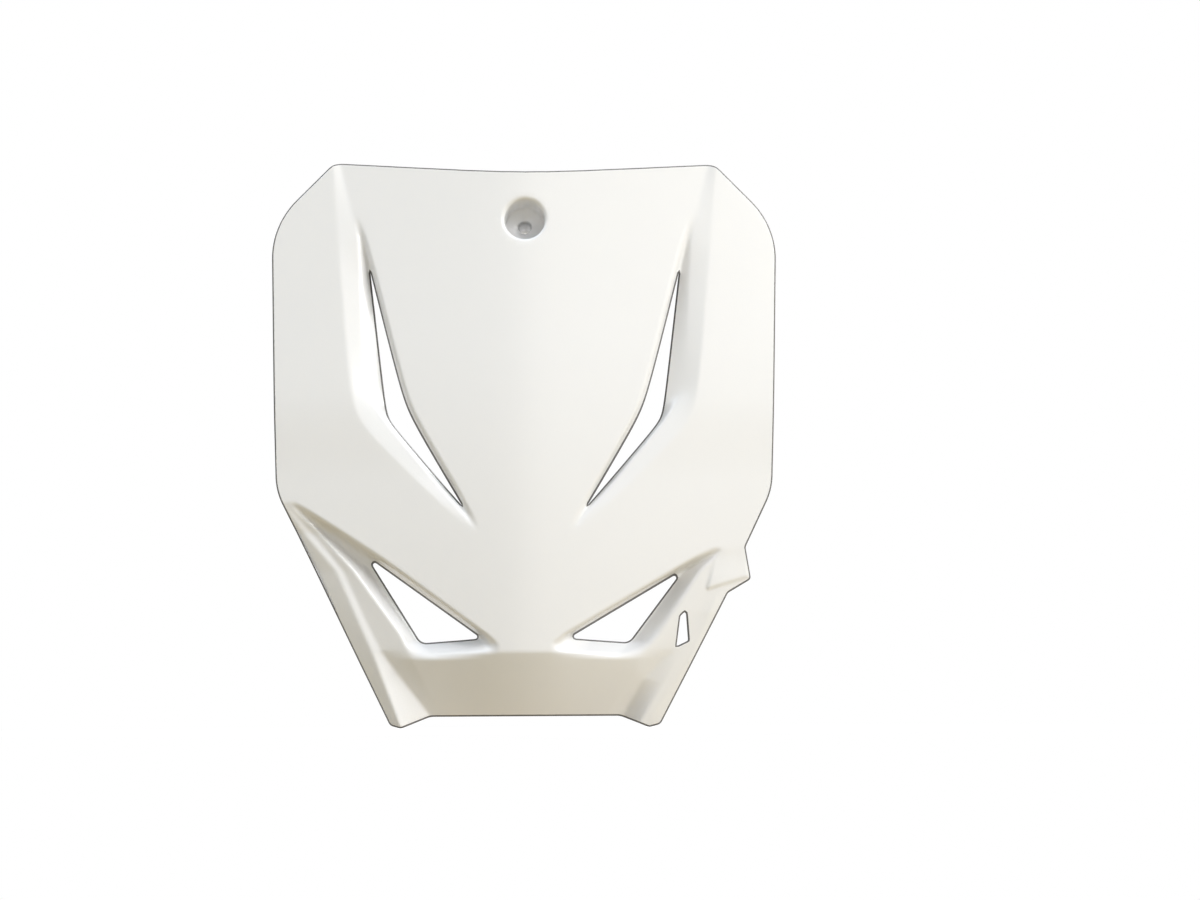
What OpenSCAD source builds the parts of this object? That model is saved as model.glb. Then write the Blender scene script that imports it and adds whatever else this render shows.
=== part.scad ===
// Moulded front number board for an off-road motorcycle, one shell.
// X runs to the right of the face, Y to the back and Z up. The origin is where the head of the top
// bolt seats, on the floor of its cup. Drops and rises are measured from that bolt.

/* [Outline] */
// Width between the two upper corners
top_width = 183; // [170:1:190]
// Height of the middle of the top edge above the bolt
top_rise = 23.3; // [18:0.1:30]
// Climb of the top edge towards each upper corner, per millimetre
top_climb = 0.1; // [0:0.01:0.15]
// Width at the shoulders
shoulder_width = 244; // [236:1:250]
// Height of the shoulder corners above the bolt
shoulder_rise = 1; // [-10:0.5:8]
// Width at the lower corners of the wings
wing_width = 236; // [230:1:240]
// Drop of the lower wing corners below the bolt
wing_drop = 127.5; // [122:0.5:130]
// Width over the outer corners of the leg tips
tip_width = 129; // [124:1:134]
// Drop of the leg tips below the bolt
tip_drop = 238; // [234:0.5:242]
// Width over the flat inner corners of the leg tips
toe_width = 118; // [112:1:122]
// How much lower the inner corners of the tips hang than the outer ones
toe_extra = 1.5; // [0:0.5:3]
// Width of the bottom edge between the legs
foot_width = 91; // [86:1:96]
// Drop of the bottom edge below the bolt
foot_drop = 234; // [230:0.5:236]

/* [Outline corners] */
// Radius of the upper corners
top_corner_r = 9; // [4:1:14]
// Radius of the shoulders
shoulder_r = 38; // [20:1:45]
// Radius of the lower wing corners
wing_r = 32; // [10:1:40]
// Radius of the leg tips
tip_r = 3; // [1:0.5:3.5]
// Radius where a leg meets the bottom edge
foot_r = 9; // [4:1:12]

/* [Shell] */
// Thickness of the moulding
wall = 2.4; // [1.8:0.1:3]
// Fall of the face away from its middle crease, per millimetre
crease_fall = 0.13; // [0.08:0.005:0.15]
// How far the middle crease is rounded to each side
crease_round = 12; // [6:1:16]
// Radius of the face seen from above
crown_r = 2500; // [1500:50:4000]
// Distance below the bolt at which the chin starts to curve back
chin_start = 60; // [40:1:80]
// Radius of the chin seen from the side
chin_r = 877; // [700:5:1200]
// Fall of the bottom panel towards the back, per millimetre of drop
panel_fall = 0.55; // [0.3:0.01:0.7]

/* [Air channels] */
// Half distance between the channels at their upper ends
channel_top_x = 79.5; // [77:0.5:81]
// Height of the upper ends of the channels above the bolt
channel_top_rise = 5; // [0:0.5:10]
// Drop of the bend of the channels below the bolt
bend_drop = 90; // [84:1:96]
// Half distance between the panel edges at the bend
bend_x = 55; // [52:0.5:57]
// Half distance between the channels at their lower ends
channel_end_x = 20; // [17:0.5:23]
// Drop of the lower ends of the channels below the bolt
channel_end_drop = 149; // [145:1:152]
// Depth of the channels
channel_depth = 6; // [3:0.5:8]
// Run of the steep wall on the panel side of a channel
channel_wall = 1.5; // [1.2:0.1:2.5]
// Half distance between the wing creases at the top edge
wing_crease_top_x = 92; // [90:0.5:94]
// Half distance between the wing creases at the bend
wing_crease_bend_x = 82; // [78:0.5:84]
// How far the wings stand above the panel between the channels
wing_rise = 1.5; // [0:0.1:2.5]
// Share of the depth of a channel that lies outside its steep part
slope_share = 0.3; // [0.1:0.05:0.5]

/* [Air slots] */
// Drop of the upper tips of the slots below the bolt
slot_top_drop = 22; // [18:1:28]
// Width of the slots at the bend
slot_w = 8.7; // [5:0.1:10]
// Drop of the lower tips of the slots below the bolt
slot_end_drop = 136.5; // [134:0.5:138]

/* [Eye pockets] */
// Half distance between the inner ends of the pockets
nose_x = 12.6; // [10:0.5:14]
// Drop of the inner ends of the pockets below the bolt
nose_drop = 200.5; // [199:0.5:202]
// Depth of the pockets
pocket_depth = 11.5; // [8:0.5:13]
// Drop at which the edges of both cheeks are placed
cheek_drop = 162; // [160:0.5:164]
// Distance of the left cheek's edge from the middle there
left_cheek_x = 65.5; // [62:0.5:68]
// Distance of the right cheek's edge from the middle there
right_cheek_x = 78.5; // [75:0.5:80]
// Distance of the upper end of the right pocket from the middle
right_end_x = 90.5; // [88:0.5:93]
// Drop of the upper end of the right pocket below the bolt
right_end_drop = 156; // [154:0.5:158]
// Run of the wall from the left cheek down into its pocket
left_wall_run = 3.2; // [2:0.1:5]
// Run of the wall from the right cheek down into its pocket
right_wall_run = 1.8; // [1.6:0.1:3]
// Half distance between the outer ends of the floors of the pockets
pocket_out_x = 72.5; // [71:0.5:74]
// Drop of the outer ends of the floors below the bolt
pocket_out_drop = 165.6; // [164:0.2:167]
// Half distance between the inner ends of the floors of the pockets
pocket_in_x = 22.9; // [21.5:0.1:25]
// Drop of the inner ends of the floors below the bolt
pocket_in_drop = 197; // [196:0.2:198]
// Half distance between the outer corners of the eyes
eye_outer_x = 75; // [73:0.5:77]
// Drop of the left eye's outer corner below the bolt
left_eye_drop = 158.6; // [157:0.2:161]
// Drop of the right eye's outer corner below the bolt
right_eye_drop = 165.6; // [164:0.2:167]
// Half distance between the inner corners of the eyes
eye_inner_x = 20.7; // [19:0.1:23]
// Drop of the inner corners of the eyes below the bolt
eye_inner_drop = 197.6; // [196:0.2:198.4]
// Half distance between the lower corners of the eyes
eye_low_x = 49.3; // [46:0.1:51]
// Drop of the lower corners of the eyes below the bolt
eye_low_drop = 199.5; // [198:0.1:200]
// Radius of the outer and inner corners of the eyes
eye_r = 1; // [0.5:0.1:2]
// Radius of the lower corners of the eyes
eye_low_r = 5; // [2:0.5:7]
// Depth of the ridge round the pockets below the face
ridge_depth = 4.5; // [3:0.1:6]
// Half distance between the lower corners of the ridges
ridge_x = 53.4; // [51:0.2:55]
// Drop of the lower part of the ridge below the bolt
ridge_drop = 207; // [205:0.5:208]

/* [Legs] */
// Depth of the crests of the legs below the face, half way down
crest_depth = 5; // [4:0.5:8]
// Depth of the crests of the legs below the face, at the tips
crest_tip_depth = 7.5; // [6:0.5:12]
// How far the valley beside the left leg's crest lies below the crest
valley_dip = 0.8; // [0.4:0.1:1.4]
// Depth of the outer edges of the legs below the face
leg_edge_depth = 14; // [10:0.5:18]
// Depth of the groove between the bottom panel and the right leg
groove_depth = 2.5; // [0:0.5:6]

/* [Bolt cup] */
// Bore of the cup in front of the bolt
cup_bore = 19.2; // [17:0.1:21]
// Depth of the cup from the face to its floor
cup_depth = 16; // [10:0.5:18]
// Thickness of the wall of the cup
cup_wall = 2.2; // [1.8:0.1:3]
// Thickness of the floor that the bolt clamps
cup_floor = 3; // [2:0.5:5]
// Length of the post behind the cup's floor, which the bolt runs through
post_l = 21; // [15:0.5:25]
// Diameter of the post
post_d = 13; // [11:0.5:16]
// Hole for the bolt
bolt_hole = 6.5; // [5.5:0.1:9]

/* [Right side tab] */
// Reach of the tab past the edge of the leg
tab_reach = 10; // [6:0.5:13]
// Drop of the lower corner of the tab below the bolt
tab_drop = 170; // [168:1:172]
// How far the pad on the tab stands out
pad_height = 1; // [0.5:0.1:1.6]
// Length of the pad along the tab
pad_l = 20; // [14:0.5:22]

/* [Right side slit] */
// Half distance of the slit from the middle of the board
slit_x = 74.6; // [73:0.2:76]
// Drop of the upper end of the slit below the bolt
slit_drop = 185.5; // [183:0.5:188]
// Length of the slit
slit_l = 15; // [10:0.5:16]
// Width of the slit at its lower end
slit_w = 4.6; // [3:0.1:5]

/* [Hidden] */
shell_colour = [0.93, 0.93, 0.92];
bore_fn = 64;
arc_steps = 6;
// Solids that cut the shell run past it by this much, in front and behind
reach = 90;
// The sheet is wider than the outline that trims it
margin = 4;
// Largest distance between two rows of the sheet, above and below the lower wing corners
row_step = 6.5;
low_row_step = 3.6;
// Least distance between two columns of the sheet
column_gap = 0.35;
// Softness of the bends in the channel lines and of the middle of the top edge
bend_soft = 3;
crease_soft = 9;
top_soft = 20;
// Flat ledge left between a channel wall and its slot
ledge = 0.4;

// Where each cheek breaks away from the face: the left one at the wing corner, the right one lower
left_end = [wing_width / 2 - 9, -wing_drop - 6];
right_end = [right_end_x, -right_end_drop];
nose_fold_z = -nose_drop - 4;
// The sheet's lowest and highest rows, and the distance over which the cheek columns close up
sheet_top = top_rise + top_climb * top_width / 2 + 2 * margin;
sheet_bottom = -max(tip_drop, foot_drop) - toe_extra - margin;
gather = 14;

function clamp01(t) = min(max(t, 0), 1);
function ease(t) = let (s = clamp01(t)) s * s * (3 - 2 * s);
function soft_min(a, b, soft) = (a + b - sqrt((a - b) * (a - b) + soft * soft)) / 2;
// Height on the line through two points [x, z], as x for a given z
function on_line(z, a, b) = a[0] + (b[0] - a[0]) * (z - a[1]) / (b[1] - a[1]);
function bent_line(z, top, bend, end, soft = bend_soft) =
    soft_min(on_line(z, top, bend), on_line(z, bend, end), soft);

// Lines of the air channels, as half distances for a given height
channel_bend = [bend_x, -bend_drop];
channel_end = [channel_end_x, -channel_end_drop];
function panel_edge_x(z) = bent_line(z, [channel_top_x, channel_top_rise], channel_bend, channel_end);
function channel_foot_x(z) = panel_edge_x(z) + channel_wall;
function slot_inner_x(z) = channel_foot_x(z) + ledge;
slot_bend = [bend_x + channel_wall + ledge + slot_w, -bend_drop - 4];
function slot_outer_x(z) = bent_line(z,
    [slot_inner_x(-slot_top_drop), -slot_top_drop], slot_bend,
    [slot_inner_x(-slot_end_drop), -slot_end_drop]);
function channel_outer_x(z) = slot_outer_x(z) + ledge;
function wing_crease_x(z) = bent_line(z, [wing_crease_top_x, top_rise],
    [wing_crease_bend_x, -bend_drop - 5], [channel_end_x + 2, -channel_end_drop - 3], crease_soft);
// The steep part of a channel's outer slope ends half way out to the crease of the wing
function slope_x(z) = bent_line(z, [channel_top_x + 0.5, channel_top_rise],
    [(wing_crease_bend_x + slot_bend[0]) / 2 + 2.5, -bend_drop + 8],
    [channel_end_x + 1, -channel_end_drop - 1]);
function channel_depth_at(z) = channel_depth
    * ease((channel_top_rise - z) / 34) * ease((z + channel_end_drop) / 26);
function wing_rise_at(z) = wing_rise * ease((z + bend_drop + 34) / 40);

// Height of the legs' outer edge and of the side of the wing, as x
function leg_edge_x(z) = on_line(z, [wing_width / 2, -wing_drop], [tip_width / 2, -tip_drop]);

// The flat panel at the bottom falls back below the nose fold
function panel_depth(z) = max(nose_fold_z - z, 0) * panel_fall;
panel_end = [sheet_bottom, panel_depth(sheet_bottom)];
low_depth = ridge_depth + (foot_drop - ridge_drop) * panel_fall * 0.84;

// Lines below the cheek, as tables [height, half distance], on the left and on the right side
function cheek_x(right) = let (end = right ? right_end : left_end) [[end[1], end[0]],
    [-cheek_drop, right ? right_cheek_x : left_cheek_x], [-nose_drop, nose_x], [sheet_bottom, nose_x - 4]];
function floor_in_x(right) = let (end = right ? right_end : left_end,
    run = right ? right_wall_run : left_wall_run) [[end[1], end[0] + 0.9],
    [-cheek_drop, (right ? right_cheek_x : left_cheek_x) + run],
    [-pocket_in_drop, lookup(-pocket_in_drop, cheek_x(right)) + run + 0.5],
    [-ridge_drop, nose_x + 5], [sheet_bottom, nose_x + 1]];
function floor_mid_x(right) = let (end = right ? right_end : left_end,
    run = right ? right_wall_run : left_wall_run) [[end[1], end[0] + 1.8],
    [-cheek_drop, (right ? right_cheek_x : left_cheek_x) + run + 1.2],
    [-pocket_in_drop, pocket_in_x + 8], [-ridge_drop, pocket_in_x + 4], [sheet_bottom, pocket_in_x - 3]];
function floor_out_x(right) = let (end = right ? right_end : left_end) [[end[1], end[0] + 2.6],
    [-pocket_out_drop, pocket_out_x + (right ? 3.4 : 1.2)],
    [-eye_low_drop, eye_low_x + 1], [-ridge_drop, ridge_x - 12], [sheet_bottom, eye_low_x - 21]];
function ridge_line_x(right) = right
    ? [[right_end[1], right_end_x + 3.4], [-pocket_out_drop, pocket_out_x + 10.6],
        [-ridge_drop + 12, ridge_x + 10.6], [-ridge_drop, ridge_x], [-ridge_drop - 6, ridge_x - 0.4],
        [-ridge_drop - 10, ridge_x - 3.4], [-foot_drop + 4, foot_width / 2 - 4.5],
        [sheet_bottom, foot_width / 2 - 13.5]]
    : [[left_end[1], left_end[0] + 3.4], [left_end[1] - gather, left_end[0] - 11.9],
        [-pocket_out_drop, pocket_out_x + 8.2], [-ridge_drop + 12, ridge_x + 5.4],
        [-ridge_drop, ridge_x], [sheet_bottom, ridge_x - 18]];
// The left leg has a crest all the way, the right one only below its slit, with a groove inside it
function valley_x(right) = right
    ? [[right_end[1], right_end_x + 5.4], [-pocket_out_drop, pocket_out_x + 15.5],
        [-slit_drop - 3, slit_x + 7], [-slit_drop - slit_l - 0.5, slit_x - 2.6],
        [-ridge_drop - 1, slit_x - 10], [-ridge_drop - 10, slit_x - 18.6],
        [-foot_drop + 4, foot_width / 2 + 3.5],
        [sheet_bottom, foot_width / 2 - 3.5]]
    : [[left_end[1], left_end[0] + 4.3], [left_end[1] - gather, left_end[0] - 8.4],
        [-pocket_out_drop, pocket_out_x + 13.5], [-slit_drop - 3, slit_x + 0.9],
        [-ridge_drop + 4, slit_x - 6.6], [-foot_drop + 2, foot_width / 2 + 1.3],
        [sheet_bottom, foot_width / 2 - 6]];
right_crest_in_x = [[right_end[1], right_end_x + 8.4], [-pocket_out_drop, pocket_out_x + 19.5],
    [-slit_drop - 3, slit_x + 10], [-ridge_drop + 4, slit_x + 1.4], [-ridge_drop - 1, slit_x - 3.4],
    [-ridge_drop - 10, slit_x - 8.1], [-foot_drop + 4, foot_width / 2 + 13],
    [sheet_bottom, foot_width / 2 + 5.5]];
function crest_out_x(right) = right
    ? [[right_end[1], right_end_x + 11.4], [-pocket_out_drop, pocket_out_x + 23],
        [-ridge_drop, slit_x + 4.4], [-tip_drop, tip_width / 2 - 7], [sheet_bottom, tip_width / 2 - 10]]
    : [[left_end[1], left_end[0] + 6.5], [left_end[1] - gather, left_end[0] - 4.4],
        [-pocket_out_drop, pocket_out_x + 16.7], [-ridge_drop, slit_x - 3.7],
        [-tip_drop, tip_width / 2 - 5], [sheet_bottom, tip_width / 2 - 7]];

// Tables [height, depth below the face] of the same lines
cheek_depth = [[-nose_drop, 0], [nose_fold_z, 0], [-ridge_drop, panel_depth(-ridge_drop)], panel_end];
function pocket_start(right) = right
    ? [[right_end[1], 0], [-pocket_out_drop, pocket_depth * 0.9]]
    : [[left_end[1], 0], [left_end[1] - gather, pocket_depth * 0.65], [-pocket_out_drop, pocket_depth]];
function floor_in_depth(right) = concat(pocket_start(right), [[-pocket_in_drop, pocket_depth * 0.85],
    [-eye_low_drop, pocket_depth * 0.5], [nose_fold_z, 0.6], [-ridge_drop, ridge_depth * 0.35], panel_end]);
function floor_mid_depth(right) = concat(pocket_start(right), [[-pocket_in_drop, pocket_depth],
    [-eye_low_drop, pocket_depth * 0.9], [nose_fold_z, ridge_depth * 0.55],
    [-ridge_drop, ridge_depth * 0.53], panel_end]);
function floor_out_depth(right) = concat(pocket_start(right), [[-eye_low_drop, pocket_depth],
    [nose_fold_z, ridge_depth * 1.25], [-ridge_drop, ridge_depth * 0.8], panel_end]);
function ridge_line_depth(right) = right
    ? [[right_end[1], 0], [-pocket_out_drop, ridge_depth * 0.35], [-ridge_drop + 12, ridge_depth * 0.8],
        [-ridge_drop, ridge_depth], panel_end]
    : [[left_end[1], 0], [left_end[1] - gather, ridge_depth], [-ridge_drop, ridge_depth], panel_end];
function valley_depth(right) = right
    ? [[right_end[1], 0], [-pocket_out_drop, ridge_depth * 0.25], [-slit_drop, ridge_depth * 0.6],
        [-ridge_drop + 4, ridge_depth + 0.8], [-ridge_drop - 10, low_depth - 8 + groove_depth / 2],
        [-foot_drop + 4, low_depth - 1.8 + groove_depth], [sheet_bottom, panel_end[1] + groove_depth]]
    : [[left_end[1], 0], [left_end[1] - gather, crest_depth + 0.2],
        [-pocket_out_drop, crest_depth + valley_dip],
        [-slit_drop - 3, crest_depth + 1.5 * valley_dip], [-ridge_drop + 4, crest_depth + 2 * valley_dip],
        [-foot_drop, low_depth], panel_end];
right_crest_in_depth = [[right_end[1], 0], [-pocket_out_drop, ridge_depth * 0.2],
    [-slit_drop, ridge_depth * 0.5], [-ridge_drop + 4, crest_depth - 0.3],
    [-foot_drop, crest_tip_depth + 2.5], [sheet_bottom, crest_tip_depth + 4]];
function crest_out_depth(right) = right
    ? [[right_end[1], 0], [-pocket_out_drop, ridge_depth * 0.15], [-slit_drop, ridge_depth * 0.4],
        [-ridge_drop, crest_depth], [-tip_drop, crest_tip_depth + 3], [sheet_bottom, crest_tip_depth + 4]]
    : [[left_end[1], 0], [left_end[1] - gather, crest_depth * 0.8], [-pocket_out_drop, crest_depth],
        [-ridge_drop, crest_depth + 0.5],
        [-tip_drop, crest_tip_depth], [sheet_bottom, crest_tip_depth + 1]];
function side_depth(right) = right
    ? [[right_end[1], 0], [-tab_drop, ridge_depth * 0.2], [-slit_drop, ridge_depth * 0.6],
        [-ridge_drop, leg_edge_depth * 0.5], [sheet_bottom, leg_edge_depth * 0.9]]
    : [[left_end[1], 0], [left_end[1] - gather, leg_edge_depth * 0.45],
        [-pocket_out_drop, leg_edge_depth * 0.65],
        [-ridge_drop, leg_edge_depth * 0.85], [sheet_bottom, leg_edge_depth + 3]];

// The tab widens the right leg: [height, extra half distance]
tab_top_z = -tab_drop + 15;
tab_low_z = -tab_drop - 6.6;
tab_extra_x = [[tab_top_z + 10, 0], [tab_top_z, tab_reach * 0.3 + 2],
    [-tab_drop - 1, tab_reach + 3], [tab_low_z - 2, 3], [tab_low_z - 10, 0]];
tip_reach = max(tip_width, toe_width) / 2;
side_x = [[sheet_top, shoulder_width / 2 + margin], [-wing_drop, wing_width / 2 + margin],
    [-tip_drop, tip_reach + margin], [sheet_bottom, tip_reach + margin / 4]];
function sheet_side_x(z, right) = lookup(z, side_x) + (right ? lookup(z, tab_extra_x) : 0);

// Below the channels their lines spread out between the middle and the cheek
function spread_x(z, share) = share * lookup(z, cheek_x(false)) * clamp01((-channel_end_drop - z) / 20);
function line_1(z) = max(panel_edge_x(z), spread_x(z, 0.25));
function line_2(z) = max(channel_foot_x(z), line_1(z) + 1, spread_x(z, 0.36));
function line_3(z) = max(channel_outer_x(z), line_2(z) + 1, spread_x(z, 0.47));
function line_4(z) = max(slope_x(z), line_3(z) + 0.8, spread_x(z, 0.53));
function line_5(z) = max(wing_crease_x(z), line_4(z) + 1, spread_x(z, 0.6));

// The lines below the cheek on one side: tables of half distance and of depth
function low_lines(right) = concat([
    [cheek_x(right), cheek_depth], [floor_in_x(right), floor_in_depth(right)],
    [floor_mid_x(right), floor_mid_depth(right)], [floor_out_x(right), floor_out_depth(right)],
    [ridge_line_x(right), ridge_line_depth(right)], [valley_x(right), valley_depth(right)]],
    right ? [[right_crest_in_x, right_crest_in_depth]] : [],
    [[crest_out_x(right), crest_out_depth(right)]]);
left_low_lines = low_lines(false);
right_low_lines = low_lines(true);

// One row of the sheet on one side, from the middle outwards: [half distance, depth below the face].
// Above the cheek its lines spread out over the wing.
function half_row(z, right) = let (deep = channel_depth_at(z), low = panel_depth(z),
    up = wing_rise_at(z), a = line_1(z), b = line_5(z), side = sheet_side_x(z, right),
    lines = right ? right_low_lines : left_low_lines, count = len(lines) + 1,
    over = clamp01((z - (right ? right_end[1] : left_end[1])) / gather),
    outer = [for (n = [0 : len(lines) - 1])
        [lookup(z, lines[n][0]) * (1 - over) + (b + (side - b) * (n + 1) / count) * over,
            lookup(z, lines[n][1]) - up]]) concat([
    [0, low], [min(a / 3, 1.4 * crease_round), low], [a * 0.6, low],
    [a, low], [line_2(z), low + deep], [line_3(z), low + deep],
    [line_4(z), low + deep * slope_share], [b, low - up], [(b + outer[0][0]) / 2, low - up]],
    outer, [[side, lookup(z, side_depth(right)) - up]]);
// Columns never cross: each lies a little further out than the one before
function spaced(row, n = 1) = n == len(row) ? row
    : spaced([for (k = [0 : len(row) - 1])
        k == n ? [max(row[k][0], row[k - 1][0] + column_gap), row[k][1]] : row[k]], n + 1);

// Fall of the crowned face behind its middle crease
function crown(x, z) = (sqrt(x * x + crease_round * crease_round) - crease_round) * crease_fall
    + x * x / (2 * crown_r)
    + pow(max(-chin_start - z, 0), 2) / (2 * chin_r);
function on_face(x, z, deeper) = [x, crown(x, z) + deeper - cup_depth, z];
function sheet_row(z) = let (left = spaced(half_row(z, false)), right = spaced(half_row(z, true)))
    concat([for (i = [len(left) - 1 : -1 : 1]) on_face(-left[i][0], z, left[i][1])],
        [for (p = right) on_face(p[0], z, p[1])]);

function rows_between(from, to, step) = let (n = ceil(abs(to - from) / step))
    [for (i = [0 : n - 1]) from + (to - from) * i / n];
row_heights = concat(
    rows_between(sheet_top, channel_top_rise, row_step),
    rows_between(channel_top_rise, -bend_drop, row_step),
    rows_between(-bend_drop, left_end[1], row_step),
    rows_between(left_end[1], -right_end_drop, low_row_step),
    rows_between(-right_end_drop, -pocket_out_drop, low_row_step),
    rows_between(-pocket_out_drop, -pocket_in_drop, low_row_step),
    rows_between(-pocket_in_drop, -eye_low_drop, low_row_step),
    rows_between(-eye_low_drop, nose_fold_z, low_row_step),
    rows_between(nose_fold_z, -ridge_drop, low_row_step),
    rows_between(-ridge_drop, sheet_bottom, low_row_step),
    [sheet_bottom]);

function unit(v) = v / norm(v);
// The back of the sheet lies one wall behind the front, square to it
function behind(rows, k, i) = let (
    last_k = len(rows) - 1, last_i = len(rows[0]) - 1,
    across = rows[k][min(i + 1, last_i)] - rows[k][max(i - 1, 0)],
    down = rows[min(k + 1, last_k)][i] - rows[max(k - 1, 0)][i])
    rows[k][i] + wall * unit(cross(across, down));

module sheet(heights) {
    rows = [for (z = heights) sheet_row(z)];
    last_k = len(rows) - 1;
    last_i = len(rows[0]) - 1;
    count = (last_k + 1) * (last_i + 1);
    function id(k, i) = k * (last_i + 1) + i;
    front = [for (k = [0 : last_k], i = [0 : last_i]) rows[k][i]];
    back = [for (k = [0 : last_k], i = [0 : last_i]) behind(rows, k, i)];
    // Each patch between two rows and two columns is split along its shorter diagonal
    front_faces = [for (k = [0 : last_k - 1], i = [0 : last_i - 1])
        let (a = id(k, i), b = id(k, i + 1), c = id(k + 1, i), d = id(k + 1, i + 1),
            falling = norm(rows[k][i] - rows[k + 1][i + 1]),
            rising = norm(rows[k + 1][i] - rows[k][i + 1]))
        each falling < rising ? [[c, a, d], [a, b, d]] : [[c, a, b], [c, b, d]]];
    back_faces = [for (f = front_faces) [f[2] + count, f[1] + count, f[0] + count]];
    rim = concat([for (i = [0 : last_i]) id(0, i)], [for (k = [1 : last_k]) id(k, last_i)],
        [for (i = [last_i - 1 : -1 : 0]) id(last_k, i)], [for (k = [last_k - 1 : -1 : 1]) id(k, 0)]);
    rim_faces = [for (n = [0 : len(rim) - 1]) let (a = rim[n], b = rim[(n + 1) % len(rim)])
        each [[b, a, a + count], [b, a + count, b + count]]];
    polyhedron(points = concat(front, back), faces = concat(front_faces, back_faces, rim_faces),
        convexity = 10);
}

// An outline with its corners rounded: each corner is [x, z, radius]
function rounded(corners) = [for (n = [0 : len(corners) - 1])
    let (count = len(corners), at = corners[n],
        before = corners[(n + count - 1) % count], after = corners[(n + 1) % count],
        p = [at[0], at[1]], u = unit([before[0], before[1]] - p), v = unit([after[0], after[1]] - p),
        turn = acos(min(max(u * v, -1), 1)),
        room = 0.48 * min(norm([before[0], before[1]] - p), norm([after[0], after[1]] - p)),
        back = min(at[2] / tan(turn / 2), room),
        centre = p + unit(u + v) * (back / cos(turn / 2)),
        from = p + u * back - centre, to = p + v * back - centre, sweep = 180 - turn,
        way = sign(from[0] * to[1] - from[1] * to[0]))
    each at[2] == 0 ? [p] : [for (s = [0 : arc_steps]) let (angle = way * sweep * s / arc_steps)
        centre + [from[0] * cos(angle) - from[1] * sin(angle),
            from[0] * sin(angle) + from[1] * cos(angle)]]];

function top_edge_z(x) = top_rise + top_climb * (sqrt(x * x + top_soft * top_soft) - top_soft);
function mirrored(points) = [for (n = [len(points) - 1 : -1 : 0]) [-points[n][0], points[n][1], points[n][2]]];
wing_corners = [[shoulder_width / 2, shoulder_rise, shoulder_r], [wing_width / 2, -wing_drop, wing_r]];
tab_corners = [[leg_edge_x(tab_top_z), tab_top_z, 3],
    [leg_edge_x(-tab_drop) + tab_reach, -tab_drop, 2], [leg_edge_x(tab_low_z) + 2, tab_low_z, 3]];
leg_corners = [[tip_width / 2, -tip_drop, tip_r],
    [toe_width / 2, -tip_drop - toe_extra, tip_r], [foot_width / 2, -foot_drop, foot_r]];
top_corner = [top_width / 2, top_edge_z(top_width / 2), top_corner_r];
edge_points = [for (share = [0.12, 0.3, 0.6]) let (x = top_width / 2 * share) [x, top_edge_z(x), 0]];
upper_corners = concat(edge_points, [top_corner], wing_corners);
outline = rounded(concat([[0, top_rise, 0]], upper_corners, tab_corners, leg_corners,
    mirrored(concat(upper_corners, leg_corners))));

// A plate of the given outline, square to Y, that runs through the whole shell
module through(points) {
    rotate([90, 0, 0])
        translate([0, 0, -reach])
            linear_extrude(2 * reach)
                polygon(points);
}

module trimmed_sheet() {
    intersection() {
        sheet(row_heights);
        through(outline);
    }
}

// The pad on the tab: a patch of the same sheet, a little in front of it
module tab_pad() {
    low_x = leg_edge_x(-tab_drop) + tab_reach - 1.5;
    pad = rounded([[low_x, -tab_drop + 1, 1.5], [low_x - 1, tab_top_z - 2, 1.5],
        [low_x - pad_l + 4, tab_top_z - 6, 2], [low_x - pad_l, -tab_drop - 5, 1.5]]);
    intersection() {
        translate([0, -pad_height, 0])
            sheet(rows_between(tab_top_z + margin, tab_low_z - margin, low_row_step));
        through(pad);
    }
}

slot_heights = rows_between(-slot_top_drop, -slot_end_drop, 5);
module air_slot(side) {
    inner = [for (z = slot_heights) [side * slot_inner_x(z), z]];
    outer = [for (n = [len(slot_heights) - 1 : -1 : 1])
        [side * slot_outer_x(slot_heights[n]), slot_heights[n]]];
    through(concat(inner, [[side * slot_inner_x(-slot_end_drop), -slot_end_drop]], outer));
}

module eye(side) {
    outer_drop = side < 0 ? left_eye_drop : right_eye_drop;
    through(rounded([[side * eye_outer_x, -outer_drop, eye_r],
        [side * eye_inner_x, -eye_inner_drop, eye_r],
        [side * eye_low_x, -eye_low_drop, eye_low_r]]));
}

module leg_slit() {
    low_z = -slit_drop - slit_l;
    through([[slit_x + 0.9, -slit_drop], [slit_x - 1.2, -slit_drop - 2],
        [slit_x - slit_w / 2 - 0.6, low_z - 1],
        [slit_x + slit_w / 2 + 0.4, low_z + 1.6], [slit_x + 1.6, -slit_drop - 0.6]]);
}

module cup_boss() {
    rotate([-90, 0, 0])
        translate([0, 0, wall * 0.7 - cup_depth])
            cylinder(h = cup_depth + cup_floor - wall * 0.7, d = cup_bore + 2 * cup_wall, $fn = bore_fn);
    rotate([-90, 0, 0])
        translate([0, 0, cup_floor / 2])
            cylinder(h = cup_floor / 2 + post_l, d = post_d, $fn = bore_fn);
}

module cup_bores() {
    rotate([-90, 0, 0])
        translate([0, 0, -cup_depth - margin])
            cylinder(h = cup_depth + margin, d = cup_bore, $fn = bore_fn);
    rotate([-90, 0, 0])
        translate([0, 0, -margin])
            cylinder(h = cup_floor + post_l + 2 * margin, d = bolt_hole, $fn = bore_fn);
}

module number_board() {
    color(shell_colour)
        difference() {
            union() {
                trimmed_sheet();
                tab_pad();
                cup_boss();
            }
            cup_bores();
            leg_slit();
            for (side = [-1, 1]) {
                air_slot(side);
                eye(side);
            }
        }
}

number_board();
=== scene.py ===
"""Moulded front number board for an off-road motorcycle, in white plastic: one thin shell.

Sizes are in millimetres and repeat the part's own. X runs to the right of the face, Y to the back, Z up.
The face is a height field, y for each x and z. Its back follows one wall behind it.
Widths are whole, places in X count from the middle, and rises and drops from the seat of the top bolt.
"""
import math

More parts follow.
